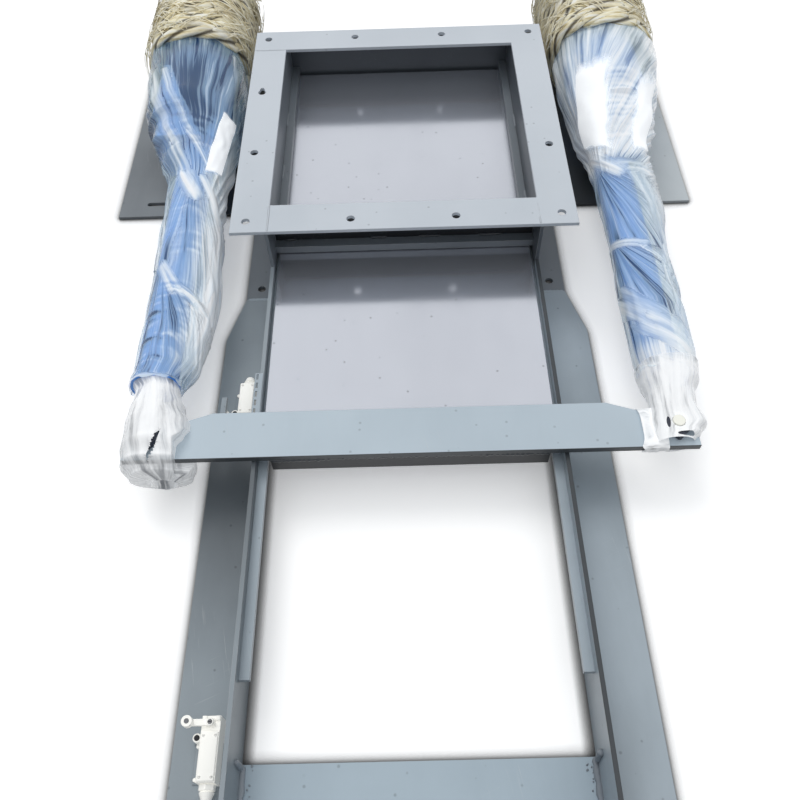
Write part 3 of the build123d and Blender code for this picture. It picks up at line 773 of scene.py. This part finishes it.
def tear(piece, holes, above):
    for vertex in piece.data.vertices:
        for hole in holes:
            across, along, distance = hole_distance(vertex.co, hole)
            if vertex.co.z > above and abs(distance - 1) * min(hole[2], hole[3]) < 0.0009:
                vertex.co.y = hole[1] + along / distance * hole[3]
                vertex.co.x = hole[0] + hole[4] * (vertex.co.y - hole[1]) + across / distance * hole[2]
    select_only(piece)
    bpy.ops.object.mode_set(mode="EDIT")
    bpy.ops.mesh.select_mode(type="FACE")
    bpy.ops.mesh.select_all(action="DESELECT")
    bpy.ops.object.mode_set(mode="OBJECT")
    for face in piece.data.polygons:
        face.select = face.center.z > above and any(hole_distance(face.center, hole)[2] < 1 for hole in holes)
    bpy.ops.object.mode_set(mode="EDIT")
    bpy.ops.mesh.delete(type="FACE")
    bpy.ops.object.mode_set(mode="OBJECT")


tear(bag_left, [(-0.3665, -0.665, 0.0036, 0.020, 0.42)], 0.09)
tear(neck_right, [
    (pin_x, pin_y, 0.0094, 0.0094, 0.0), (0.3735, -0.644, 0.0030, 0.0095, 0.1), (0.395, -0.6635, 0.0125, 0.0042, 0.0),
], 0.105)
declare_sheet(bag_left)
declare_sheet(neck_right)


# %% [markdown]
# A strip of the same crushed film goes once round the crossbar beside the right fork.
# White packing foam was pushed under the outer layer of film: two strips on the right and one on the left.


# %% Strips of film and foam
def wrap_bar(name, x0, x1, y0, y1, z0, z1, seed):
    strip = film_grid(name, 90, 30)
    fold, rolled = add_attributes(strip.data)
    for index, vertex in enumerate(strip.data.vertices):
        share, across = vertex.co.x + 0.5, vertex.co.y + 0.5
        turn = share * 2 * math.pi * 1.02
        c, s = math.cos(turn), math.sin(turn)
        spot = Vector((c, s, across * 1.6))
        crease = crushed(spot * 1.3, seed)
        lift = 0.0022 + 0.002 * noise.noise(spot * 1.3) + 0.0015 * crease
        edge = 0.006 * noise.noise((turn, seed, across)) * (1 if across in (0.0, 1.0) else 0.4)
        y = (y0 + y1) / 2 + ((y1 - y0) / 2 + lift) * math.copysign(abs(c) ** 0.35, c)
        z = (z0 + z1) / 2 + ((z1 - z0) / 2 + lift) * math.copysign(abs(s) ** 0.35, s)
        vertex.co = (x0 + (x1 - x0) * across + edge, y, z)
        # Painted highlight: the strip is whiter along the ridges of its creases.
        fold.data[index].value = 0.62 + 0.35 * crease
        rolled.data[index].vector = (share * 1.2, across * 0.8, seed)
    finish_film(strip, cloudy_film, "gate")
    return strip


bar_strip = wrap_bar("bar_wrap_right", 0.336, 0.372, -0.676, -0.612, 0.095, 0.105, 2.0)
declare_sheet(bar_strip)

foam, tree, shader = new_material("packing_foam")
cells = add_node(tree, "ShaderNodeTexVoronoi", {"Vector": object_place(tree), "Scale": 420.0}).outputs["Distance"]
tone = sums(tree, "MULTIPLY_ADD", noise_map(tree, 26.0, 3.0), 0.3, times(tree, cells, 0.2))
torn = sums(tree, "MULTIPLY_ADD", noise_map(tree, 60.0, 3.0, (1, 0.3, 1)), 0.5, point_value(tree, "fold"))
# Painted light: the foam glows a little, which lifts it to white.
feed(tree, shader, {
    "Base Color": mix_colour(tree, tone, white, (0.86, 0.89, 0.94, 1)), "Roughness": 0.6,
    "Alpha": window(tree, torn, 0.3, 0.75), "Emission Color": (0.9, 0.95, 1.0, 1), "Emission Strength": 0.30})


def lay_foam(name, rings, corner_turns, corner_ys, edges, seed):
    pad = film_grid(name, 30, 60)
    fold, rolled = add_attributes(pad.data)
    for index, vertex in enumerate(pad.data.vertices):
        a, b = vertex.co.x + 0.5, vertex.co.y + 0.5
        shares = ((1 - a) * (1 - b), a * (1 - b), (1 - a) * b, a * b)
        turn = math.radians(sum(share * corner for share, corner in zip(shares, corner_turns)))
        y = sum(share * corner for share, corner in zip(shares, corner_ys))
        x, z = on_ring(between(rings, y), turn, 0.0020 + 0.0014 * noise.noise((a * 3.0, b * 6.0, seed)))
        vertex.co = (x, y, z)
        fold.data[index].value = min(1.0, edges[0] * a, edges[1] * (1 - a), edges[2] * b, edges[3] * (1 - b))
    finish_film(pad, foam, "frame")
    long_side = (sum(corner_ys[:2]) - sum(corner_ys[2:])) / 2
    declare_sheet(pad)


lay_foam("foam_right_inner", right_rings, (134, 92, 172, 106), (0.165, 0.150, -0.036, -0.084),
         (12, 1.8, 2.2, 9), 1.0)
lay_foam("foam_right_outer", right_rings, (70, 36, 84, 42), (0.110, 0.120, -0.090, -0.084),
         (2.2, 5, 2.5, 5), 2.0)
lay_foam("foam_left", left_rings, (47, 22, 72, 33), (0.058, 0.050, -0.104, -0.098), (10, 6, 8, 8), 3.0)

# %% [markdown]
# ## Straw rope round the motors
#
# Under the far end of the film, each motor is wound in soft straw rope so that it can't be chipped in transport.
# The rope is three twisted strands, pressed flat, and no two turns lie quite alike.
# A long thin grid is rolled twice: once into a rope with three lobes, and once round the motor.


# %% Straw material
straw, tree, shader = new_material("straw")
stretch = add_node(tree, "ShaderNodeMapping", {
    "Vector": point_value(tree, "rolled", "Vector"), "Scale": (190.0, 11.0, 1.0)})
blades = add_node(tree, "ShaderNodeTexNoise", {
    "Vector": stretch.outputs[0], "Scale": 1.0, "Detail": 4.0, "Roughness": 0.65}).outputs["Fac"]
tones = add_node(tree, "ShaderNodeValToRGB", {0: blades})
stops = tones.color_ramp.elements
for place, colour in ((0.3, (122, 100, 58)), (0.40, (222, 206, 158)), (0.48, (254, 246, 214)), (0.60, (255, 255, 247))):
    stops.new(place).color = from_screen(*colour)
stops.remove(stops[0])
stops.remove(stops[-1])
patches = window(tree, noise_map(tree, 22.0, 3.0), 0.4, 0.65)
aged = mix_colour(tree, times(tree, patches, 0.25), tones.outputs[0], from_screen(158, 138, 94))
# Painted shade: the straw turns dark brown in the grooves between the strands.
strand_gap_shade = window(tree, point_value(tree, "fold"), 0.0, 0.5, 1.0, 0.0)
bump = add_node(tree, "ShaderNodeBump", {"Strength": 1.0, "Distance": 0.0018, "Height": blades})
feed(tree, shader, {
    "Base Color": mix_colour(tree, times(tree, strand_gap_shade, 0.9), aged, from_screen(44, 34, 18)),
    "Roughness": 0.85, "Sheen Weight": 0.15, "Normal": bump.outputs[0]})
print("straw tones", len(stops))

# %% [markdown]
# The rope's middle line runs round the motor's oval and along it, and strays a little from an even pitch.
# Each ring of the grid is set square to that line, and its three lobes turn along it as strands do.

# %% Rope wound round a motor
oval_length, rope_rise, strand_pitch, straw_low = 0.66, 0.006, 38.0, 0.0066


def oval(centre, half_x, low, high, turn):
    c, s = math.cos(turn), math.sin(turn)
    x = centre + half_x * math.copysign(abs(c) ** 0.82, c)
    z = (low + high) / 2 + (high - low) / 2 * math.copysign(abs(s) ** 0.82, s)
    return Vector((x, 0, z)), Vector((c / half_x, 0, s / ((high - low) / 2))).normalized()


def rope_line(spec, t):
    turn = spec["start"] + 2 * math.pi * spec["turns"] * t
    spot, out = oval(spec["centre"], spec["half"], spec["low"], spec["high"], turn)
    seed = spec["seed"]
    roam = noise.noise((turn * 0.8, seed, 0.0)) * spec["stray"]
    rise = noise.noise((turn * 1.3, seed, 7.0)) * rope_rise
    spot.y = spec["y0"] + (spec["y1"] - spec["y0"]) * t + roam
    return spot + out * rise, out


def wind_rope(name, spec, around=16, step=0.006):
    length = spec["turns"] * oval_length
    rope = film_grid(name, around, int(length / step))
    mesh = rope.data
    fold, rolled = add_attributes(mesh)
    kept = {}
    for index, vertex in enumerate(mesh.vertices):
        share, t = vertex.co.x + 0.5, vertex.co.y + 0.5
        key = round(t, 6)
        if key not in kept:
            spot, out = rope_line(spec, t)
            ahead = rope_line(spec, t + 0.0005)[0]
            along = (ahead - spot).normalized()
            out = (out - along * out.dot(along)).normalized()
            kept[key] = (spot, out, along.cross(out))
        spot, out, aside = kept[key]
        turn = 2 * math.pi * share
        lobe = math.cos(3 * (turn - t * length * strand_pitch))
        shag = noise.noise((turn * 1.5, t * length * 30.0, spec["seed"])) * 0.12
        thick = spec["thick"] / 2 * (1 + 0.2 * lobe + shag) * (0.25 if t in (0.0, 1.0) else 1.0)
        point = spot + out * math.sin(turn) * thick * 0.5 + aside * math.cos(turn) * thick
        vertex.co = (point.x, point.y, max(point.z, straw_low))
        fold.data[index].value = 0.5 + 0.5 * lobe
        rolled.data[index].vector = (share * 0.06, t * length, spec["seed"])
    mesh.update()
    bpy.ops.object.mode_set(mode="EDIT")
    bpy.ops.mesh.select_all(action="SELECT")
    bpy.ops.mesh.remove_doubles(threshold=0.0002)
    bpy.ops.mesh.fill_holes(sides=40)
    bpy.ops.mesh.normals_make_consistent(inside=False)
    bpy.ops.object.mode_set(mode="OBJECT")
    bpy.ops.object.shade_smooth()
    mesh.materials.append(straw)
    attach(rope, "frame")
    return rope


# %% [markdown]
# Three layers make the bundle: a dense inner winding, an outer one that leans the other way,
# and loose blades of straw that have worked out of the rope.


# %% Windings and loose blades
blade_rows, blade_gap, blade_thick = 9, 0.0125, 0.0006


def loose_straw(name, spec, count, seed):
    draw = random.Random(seed)
    blades = film_grid(name, 1, count * blade_rows)
    mesh = blades.data
    fold, rolled = add_attributes(mesh)
    rows = sorted(range(len(mesh.vertices)), key=lambda i: (round(mesh.vertices[i].co.y, 6), mesh.vertices[i].co.x))
    for blade in range(count + 1):
        turn = draw.uniform(-0.5, math.pi + 0.5)
        y = draw.uniform(spec["y0"], spec["y1"])
        spot, out = oval(spec["centre"], spec["half"], spec["low"], spec["high"], turn)
        spot.y = y
        across = Vector((0, 1, 0)).cross(out)
        lean = draw.uniform(-1.1, 1.1)
        way = (across * math.cos(lean) + Vector((0, 1, 0)) * math.sin(lean)).normalized()
        side = out.cross(way)
        length, width = draw.uniform(0.04, 0.1), draw.uniform(0.0014, 0.0036)
        lift, curl = draw.uniform(0.002, 0.007), draw.uniform(-0.25, 0.25)
        for row in range(blade_rows):
            t = row / (blade_rows - 1) - 0.5
            middle = spot + way * length * t + side * curl * length * t * t * 2 + out * (lift - t * t * length * 0.42)
            for hand in (0, 1):
                place = (blade * blade_rows + row) * 2 + hand
                if place < len(rows):
                    index = rows[place]
                    taper = width * (1 - 0.8 * abs(2 * t) ** 3)
                    mesh.vertices[index].co = middle + side * taper * (hand - 0.5)
                    fold.data[index].value = 1.0
                    rolled.data[index].vector = (blade * 0.013 + hand * 0.004, t * length, 1.0)
    bpy.ops.object.mode_set(mode="EDIT")
    bpy.ops.mesh.select_all(action="DESELECT")
    bpy.ops.object.mode_set(mode="OBJECT")
    for polygon in mesh.polygons:
        corners = [mesh.vertices[corner].co for corner in polygon.vertices]
        spread = max((a - b).length for a in corners for b in corners)
        polygon.select = spread > blade_gap
    bpy.ops.object.mode_set(mode="EDIT")
    bpy.ops.mesh.delete(type="FACE")
    bpy.ops.mesh.select_all(action="SELECT")
    bpy.ops.mesh.delete_loose()
    bpy.ops.object.mode_set(mode="OBJECT")
    thicken = blades.modifiers.new("blade", "SOLIDIFY")
    thicken.thickness = blade_thick
    bpy.ops.object.modifier_apply(modifier="blade")
    mesh.materials.append(straw)
    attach(blades, "frame")
    return blades


straw_near, straw_far = 0.262, 0.505
for side, name in ((-1, "left"), (1, "right")):
    inner = {"centre": side * pack_x, "half": 0.092, "low": 0.018, "high": 0.1955, "y0": straw_near, "y1": straw_far,
             "turns": 12, "thick": 0.036, "stray": 0.016, "seed": 4.0 + side, "start": 0.4}
    outer = dict(inner, half=0.098, low=0.014, high=0.197, turns=6, thick=0.030, stray=0.075, seed=9.0 + side,
                 start=2.0, y0=straw_far - 0.01, y1=straw_near + 0.006)
    ropes = [wind_rope(f"straw_inner_{name}", inner), wind_rope(f"straw_outer_{name}", outer)]
    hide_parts(f"straw_{name}")
    strays = dict(outer, half=0.106, low=0.010, high=0.203, y0=straw_near, y1=straw_far)
    loose = loose_straw(f"straw_loose_{name}", strays, 420, 30 + side)
    print(name, "straw faces", [len(piece.data.polygons) for piece in ropes + [loose]])


# %% [markdown]
# ## Welds
#
# A hand-laid bead is a row of overlapping puddles. Each bead starts as a small filled circle across the seam
# and is drawn along it in short extrusions, each one swollen or shrunk a little.
# Long beads join the tail plate under the crossbar and the end member to the rails; short stitches hold the walls.


# %% Weld beads
weld_coat = painted("weld_coat", (150, 158, 166), (96, 102, 110), 0.8, 0.9, 0.2, 0.3, 0.4, 0.0, 0.0006)
# Painted shade: the welds on the near wall and under the crossbar face away from the light, so their coat is dark.
shaded_weld = painted("shaded_weld", (62, 67, 73), (34, 38, 43), 0.6, 0.4, 0.1, 0.5, 0.25, 0.0, 0.0008)
pale_weld = painted("pale_weld", (140, 147, 154), (92, 99, 106), 0.6, 0.6, 0.2, 0.3, 0.4, 0.0, 0.0005)


def settle(piece, material, body, angle=40):
    select_only(piece)
    bpy.ops.object.transform_apply(location=True, rotation=True, scale=True)
    bpy.ops.object.mode_set(mode="EDIT")
    bpy.ops.mesh.select_all(action="SELECT")
    bpy.ops.mesh.normals_make_consistent(inside=False)
    bpy.ops.object.mode_set(mode="OBJECT")
    bpy.ops.object.shade_smooth_by_angle(angle=math.radians(angle))
    if material:
        piece.data.materials.clear()
        piece.data.materials.append(material)
    if body:
        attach(piece, body)
    return piece


def weld_bead(name, start, end, width, height, step, body, seed, material):
    draw = random.Random(seed)
    start, end = Vector(start), Vector(end)
    way = (end - start).normalized()
    steps = max(3, round((end - start).length / step))
    stride = way * ((end - start).length / steps)
    bpy.ops.object.select_all(action="DESELECT")
    bpy.ops.mesh.primitive_circle_add(
        vertices=9, radius=width / 4, fill_type="NGON", location=start, rotation=way.to_track_quat("Z", "Y").to_euler())
    bead = start_piece(name)
    bpy.ops.object.mode_set(mode="EDIT")
    bpy.ops.mesh.select_all(action="SELECT")
    bpy.ops.transform.resize(value=(1, 1, height / width), center_override=start)
    size, spot = 0.5, start.copy()
    for index in range(steps):
        shift = Vector((draw.uniform(-1, 1), draw.uniform(-1, 1), draw.uniform(-0.5, 0.5))) * width * 0.05
        bpy.ops.mesh.extrude_region_move(TRANSFORM_OT_translate={"value": stride + shift})
        spot += stride + shift
        wanted = 0.55 if index == steps - 1 else (1.08 if index % 2 else 0.88) * draw.uniform(0.88, 1.14)
        bpy.ops.transform.resize(value=(wanted / size,) * 3, center_override=spot)
        size = wanted
    bpy.ops.object.mode_set(mode="OBJECT")
    return settle(bead, material, body, 60)


tail_seam = ((-0.204, -0.6735, 0.0925), (0.204, -0.6735, 0.0925))
weld_bead("weld_tail", *tail_seam, 0.0085, 0.0075, 0.0036, "gate", 1, shaded_weld)
near_wall_y, near_seam, side_seam, flange_top = -0.2315, 0.098, 0.0965, 0.1721
stitches = [
    (f"near_{letter}", (x0, near_wall_y, near_seam), (x1, near_wall_y, near_seam), shaded_weld) for letter, x0, x1 in (
        ("a", -0.210, -0.190), ("b", -0.058, -0.030), ("c", 0.026, 0.064), ("d", 0.131, 0.170))
]
stitches += [(name, (x, y0, side_seam), (x, y1, side_seam), pale_weld) for name, x, y0, y1 in (
    ("left_a", -0.2245, 0.085, 0.125), ("left_b", -0.2245, -0.070, -0.032),
    ("right_a", 0.2245, -0.160, -0.122), ("right_b", 0.2245, 0.060, 0.098))]
for index, (name, start, end, material) in enumerate(stitches):
    weld_bead(f"weld_{name}", start, end, 0.0055, 0.005, 0.0032, "frame", 10 + index, material)

end_weld_x = 0.2235
joint_weld = (0.0035, 0.0006, 0.003, "frame")
for side, name in ((-1, "left"), (1, "right")):
    x = side * end_weld_x
    for place, start, end, sizes, seed, material in (
        ("end", (x, -1.166, 0.0085), (x, -1.070, 0.0085), (0.010, 0.008, 0.0045, "frame"), 30, weld_coat),
        ("end_top", (x, -1.074, 0.012), (x, -1.071, 0.048), (0.008, 0.008, 0.0042, "frame"), 35, weld_coat),
        ("rail", (side * 0.227, -0.288, 0.0062), (side * 0.286, -0.288, 0.0062), (0.006, 0.0016, 0.0035, "frame"), 40,
         right_rail_coat),
        ("flange", (side * 0.2252, -0.2865, flange_top), (side * 0.2252, -0.2262, flange_top), joint_weld, 44,
         flange_coat),
    ):
        weld_bead(f"weld_{place}_{name}", start, end, *sizes, seed + side, material)
far_joint = ((-0.286, 0.2252, flange_top), (-0.2262, 0.2252, flange_top))
weld_bead("weld_flange_far", *far_joint, *joint_weld, 48, flange_coat)


# %% [markdown]
# Beads throw spatter. A few small balls of it are stuck round the heavy welds at the end member.


# %% Spatter
def gather_pieces(name, pieces, body, angle=40, material=None):
    select_only(*pieces)
    bpy.ops.object.join()
    return settle(start_piece(name), material, body, angle)


draw = random.Random(77)
balls = []
for index in range(34):
    side = -1 if index % 2 else 1
    x = side * (end_weld_x + draw.choice((-1, 1)) * draw.uniform(0.006, 0.016))
    y = draw.uniform(-1.16, -1.06)
    floor_z = 0.006 if abs(x) < 0.2245 and y < -1.068 or abs(x) > 0.2315 else 0.09
    if floor_z > 0.05:
        x = side * end_weld_x - side * 0.012
        y = min(y, -1.07)
        floor_z = 0.006
    radius = draw.uniform(0.0008, 0.0016)
    bpy.ops.mesh.primitive_ico_sphere_add(subdivisions=1, radius=radius, location=(x, y, floor_z + radius * 0.4))
    balls.append(bpy.context.active_object)
gather_pieces("spatter", balls, "frame", 60, weld_coat)

# %% [markdown]
# ## Fittings of the limit switches
#
# A plastic limit switch has a screwed lid, a head that can be turned, a lever clamped on with a screw, and a
# gland that tapers where the cable goes in. Each is a small primitive, bevelled and joined into one piece.


# %% Small parts
screw_steel = painted("screw_steel", (120, 122, 126), (70, 72, 78), 0.4, 0.3, 0.3, 0.5, 0.3, 0.8, 0.0001)
slot_black = painted("slot_black", (26, 28, 32), (14, 15, 18), 0.4, 0.1, 0.1, 0.2, 0.6, rub=(60, 62, 66))
quarter = (math.radians(90), 0, 0)


def add_box(x0, x1, y0, y1, z0, z1, material, bevel=0.0):
    middle = ((x0 + x1) / 2, (y0 + y1) / 2, (z0 + z1) / 2)
    bpy.ops.object.select_all(action="DESELECT")
    bpy.ops.mesh.primitive_cube_add(size=1, location=middle, scale=(abs(x1 - x0), abs(y1 - y0), abs(z1 - z0)))
    box = bpy.context.active_object
    bpy.ops.object.transform_apply(location=True, rotation=True, scale=True)
    if bevel:
        bpy.ops.object.mode_set(mode="EDIT")
        bpy.ops.mesh.select_all(action="SELECT")
        bpy.ops.mesh.bevel(offset=bevel, segments=2, affect="EDGES")
        bpy.ops.object.mode_set(mode="OBJECT")
    box.data.materials.append(material)
    return box


def add_disc(x, y, z0, z1, radius, material, vertices=20, top=None, turn=(0, 0, 0)):
    bpy.ops.object.select_all(action="DESELECT")
    bpy.ops.mesh.primitive_cone_add(
        vertices=vertices, radius1=radius, radius2=radius if top is None else top, depth=abs(z1 - z0),
        location=(x, y, (z0 + z1) / 2), rotation=turn)
    disc = bpy.context.active_object
    bpy.ops.object.transform_apply(location=True, rotation=True, scale=True)
    disc.data.materials.append(material)
    return disc


def add_ring(spot, radius, wire, segments, sides):
    bpy.ops.object.select_all(action="DESELECT")
    bpy.ops.mesh.primitive_torus_add(
        location=spot, rotation=quarter, major_radius=radius, minor_radius=wire,
        major_segments=segments, minor_segments=sides)
    ring = bpy.context.active_object
    ring.data.materials.append(screw_steel)
    return ring


def add_screw(x, y, z, radius, head_coat, slot_coat):
    head = add_disc(x, y, z - 0.0003, z + 0.0010, radius, head_coat, 16, radius * 0.82)
    long, short = radius * 0.8, radius * 0.14
    return [head, add_box(x - long, x + long, y - short, y + short, z + 0.0008, z + 0.00115, slot_coat)]


lid_low, lid_top, lever_top = 0.0355, 0.0388, 0.0445
post_x, shaft_x = -0.2800, -0.262


def fit_switch(name, roller_y, ahead):
    front = roller_y + ahead * 0.009
    neck, back = front - ahead * 0.018, front - ahead * 0.078
    x0, x1 = -0.274, -0.250
    post_y = roller_y - ahead * 0.016
    pieces = [add_box(
        x0 + 0.0012, x1 - 0.0012, neck - ahead * 0.0016, back + ahead * 0.0012, lid_low, lid_top, cream_case, 0.0009)]
    for x in (x0 + 0.0045, x1 - 0.0045):
        for y in (neck - ahead * 0.006, back + ahead * 0.006):
            pieces += add_screw(x, y, lid_top, 0.0017, cream_case, screw_steel)
    for x in (x0 + 0.0035, x1 - 0.0035):
        pieces.append(add_box(
            x - 0.003, x + 0.003, front - ahead * 0.0002, front - ahead * 0.0062, 0.033, 0.0378, cream_case, 0.0008))
    pieces += [
        add_disc(shaft_x, roller_y, 0.0415, lever_top, 0.0052, cream_case, 20, 0.0046),
        *add_screw(shaft_x, roller_y, lever_top, 0.0032, screw_steel, slot_black),
        add_disc(-0.290, roller_y, 0.0505, 0.0525, 0.0034, screw_steel, 16, 0.0028),
        add_disc(shaft_x, back - ahead * 0.004, 0.0175, 0.0245, 0.0108, cream_case, 6, None, quarter),
        add_disc(shaft_x, back - ahead * 0.014, 0.0165, 0.0255, 0.0098, cream_case, 20, 0.0062,
                 (math.radians(90 * ahead), 0, 0)),
        add_box(-0.285, -0.2492, neck - ahead * 0.010, back + ahead * 0.002, 0.006, 0.0082, left_rail_coat, 0.0005),
    ]
    for y in (neck - ahead * 0.014, back + ahead * 0.007):
        pieces.append(add_disc(-0.2815, y, 0.0080, 0.0112, 0.0028, cream_case, 6, 0.0026))
    pieces += [
        add_disc(post_x, post_y, 0.0065, 0.0285, 0.0056, cream_case, 20),
        add_disc(post_x, post_y, 0.0284, 0.0292, 0.0036, slot_black, 20),
        add_box(post_x, -0.2735, roller_y - ahead * 0.019, roller_y - ahead * 0.013, 0.016, 0.026, cream_case, 0.0006),
    ]
    fittings = gather_pieces(name, pieces, "frame")
    return fittings


def copy_piece(piece, name, body, shift=(0, 0, 0), mirror_y=None):
    twin = piece.copy()
    twin.data = piece.data.copy()
    twin.name = name
    bpy.context.scene.collection.objects.link(twin)
    select_only(twin)
    bpy.ops.transform.translate(value=shift)
    if mirror_y is not None:
        bpy.ops.transform.resize(value=(1, -1, 1), center_override=(0, mirror_y, 0))
    return settle(twin, None, body)


closed_roller_y, open_roller_y = -0.564, -1.023
closed_fittings = fit_switch("closed_switch_fittings", closed_roller_y, -1)
open_fittings = copy_piece(
    closed_fittings, "open_switch_fittings", "frame", mirror_y=(closed_roller_y + open_roller_y) / 2)

# %% [markdown]
# A slotted strip is welded along the top of the left rail beside the closed switch, for moving the switch along.
# It is a plate with a row of slots cut right through.


# %% Slotted strip
strip = add_box(-0.2385, -0.2262, -0.600, -0.516, 0.0896, 0.0916, left_rail_coat)
cutter = add_box(-0.2362, -0.2330, -0.592, -0.582, 0.080, 0.1, slot_black)
row = cutter.modifiers.new("row", "ARRAY")
row.count = 5
row.use_relative_offset = False
row.use_constant_offset = True
row.constant_offset_displace = (0, 0.016, 0)
bpy.ops.object.modifier_apply(modifier="row")
cut = strip.modifiers.new("slots", "BOOLEAN")
cut.object = cutter
cut.operation = "DIFFERENCE"
cut.solver = "EXACT"
select_only(strip)
bpy.ops.object.modifier_apply(modifier="slots")
bpy.data.objects.remove(cutter)
strip.name = "slotted_strip"
settle(strip, right_rail_coat, "frame", 30)

# %% [markdown]
# ## Pins and fan covers
#
# Each crossbar pin is kept by a washer and a split pin under the fork. Each motor's fan cover ends in a round
# grille of wire rings on crossed bars, where the fan draws its air.


# %% Pin keepers and grilles
washer = add_disc(-pin_x, pin_y, 0.0800, 0.0822, 0.0145, screw_steel, 32)
leg_turn = (math.radians(90), 0, math.radians(20))
leg = add_disc(-pin_x, pin_y, 0.0622, 0.0902, 0.0014, screw_steel, 12, None, leg_turn)
eye = add_ring((-pin_x, -0.6585, 0.0762), 0.0034, 0.0013, 20, 10)
keeper = gather_pieces("pin_keeper_left", [washer, eye, leg], "gate")
copy_piece(keeper, "pin_keeper_right", "gate", (2 * pin_x, 0, 0))

half_wire, half_bar = 0.0015, 0.056
grille_place = (-pack_x, 0.5265, axis_height)
wires = [add_ring(grille_place, radius, half_wire, 56, 8) for radius in (0.014, 0.024, 0.034, 0.044, 0.054)]
low, high = axis_height - half_wire, axis_height + half_wire
wires += [
    add_box(-pack_x - half_bar, -pack_x + half_bar, 0.5255, 0.5275, low, high, screw_steel, 0.0004),
    add_box(-pack_x - half_wire, -pack_x + half_wire, 0.5255, 0.5275, axis_height - half_bar,
            axis_height + half_bar, screw_steel, 0.0004),
    add_disc(-pack_x, 0.5262, low, high, 0.008, screw_steel, 24, None, quarter),
]
grille = gather_pieces("fan_grille_left", wires, "frame")
copy_piece(grille, "fan_grille_right", "frame", (2 * pack_x, 0, 0))
